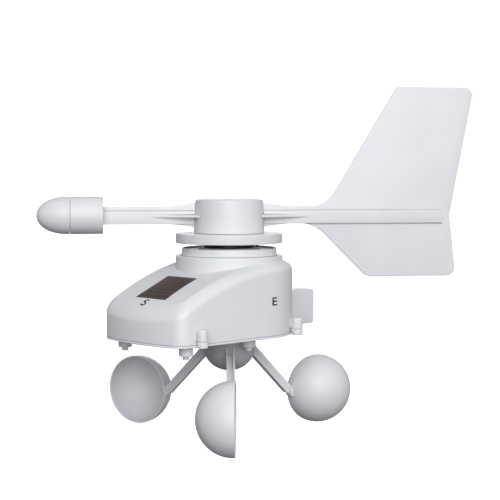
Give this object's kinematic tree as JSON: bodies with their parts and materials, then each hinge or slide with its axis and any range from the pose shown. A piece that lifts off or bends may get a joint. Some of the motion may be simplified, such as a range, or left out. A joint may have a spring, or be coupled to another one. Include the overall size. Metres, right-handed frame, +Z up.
{
  "type": "wind sensor",
  "caption": "Outdoor wind sensor of a home weather station: a balanced tail vane above and wind cups below a wedge shaped solar assisted housing with a rear mounting block",
  "frame": {"origin": "centre of the flat rear face of the mounting block, the face that is screwed to a bracket", "axes": "+Z is up, +Y is north and is the outward normal of the rear mounting face, +X is east. The housing is symmetric about X = 0. Both moving bodies turn about the vertical line X = 0, Y = -0.100."},
  "size_m": [0.2691, 0.3311, 0.3243],
  "materials": {
    "case_plastic": "pale cool grey weatherproof plastic, fine satin moulded skin",
    "vane_plastic": "pale cool grey weatherproof plastic, satin",
    "cup_plastic": "pale cool grey weatherproof plastic, satin",
    "bearing_plastic": "black low friction plastic",
    "steel": "stainless steel, bright",
    "magnet": "nickel plated magnet",
    "weight_steel": "zinc plated steel slug",
    "solar_cell": "dark brown amorphous solar cell under clear resin",
    "seal_rubber": "soft black seal",
    "board": "green solder mask",
    "chip": "black moulded electronics",
    "antenna_wire": "enamelled copper wire",
    "tray_plastic": "black moulded plastic",
    "battery_jacket": "printed plastic jacket, plain",
    "contact_metal": "nickel plated spring steel"
  },
  "bodies": {
    "housing": {"housing_shell": "case_plastic", "turret_collar": "case_plastic", "base_cover": "case_plastic", "battery_door": "case_plastic", "mount_block": "case_plastic", "foot_south_west": "case_plastic", "foot_south_east": "case_plastic", "foot_north_west": "case_plastic", "foot_north_east": "case_plastic", "vane_bearing_housing": "bearing_plastic", "rotor_bearing_housing": "bearing_plastic", "solar_panel": "solar_cell", "case_gasket": "seal_rubber", "circuit_board": "board", "vane_sensor_chip": "chip", "rotor_sensor_chip": "chip", "radio_module": "chip", "antenna": "antenna_wire", "battery_tray": "tray_plastic", "battery_cell_1": "battery_jacket", "battery_cell_2": "battery_jacket", "battery_contact_1": "contact_metal", "battery_contact_2": "contact_metal", "case_screw_south_west": "steel", "case_screw_south_east": "steel", "case_screw_north_west": "steel", "case_screw_north_east": "steel", "mount_screw_low": "steel", "mount_screw_high": "steel", "board_screw_1": "steel", "board_screw_2": "steel", "board_screw_3": "steel", "board_screw_4": "steel", "battery_door_screw": "steel", "vane_bearing_upper": "steel", "vane_bearing_lower": "steel", "rotor_bearing_upper": "steel", "rotor_bearing_lower": "steel"},
    "vane": {"vane_hub": "vane_plastic", "vane_flange": "vane_plastic", "vane_arm": "vane_plastic", "tail_fin": "vane_plastic", "nose_sleeve": "vane_plastic", "nose_cap": "vane_plastic", "vane_shaft": "steel", "vane_magnet": "magnet", "nose_weight": "weight_steel"},
    "rotor": {"cup_arm_1": "cup_plastic", "cup_arm_2": "cup_plastic", "cup_arm_3": "cup_plastic", "wind_cup_1": "cup_plastic", "wind_cup_2": "cup_plastic", "wind_cup_3": "cup_plastic", "rotor_dome": "cup_plastic", "rotor_shaft": "steel", "rotor_screw": "steel", "rotor_magnet": "magnet"}
  },
  "joints": [
    {"name": "vane_turn", "type": "hinge", "parent": "housing", "child": "vane", "pos_m": [0, -0.1, 0.0652], "axis": [0, 0, 1], "continuous": true},
    {"name": "cup_spin", "type": "hinge", "parent": "housing", "child": "rotor", "pos_m": [0, -0.1, -0.019], "axis": [0, 0, 1], "continuous": true}
  ]
}
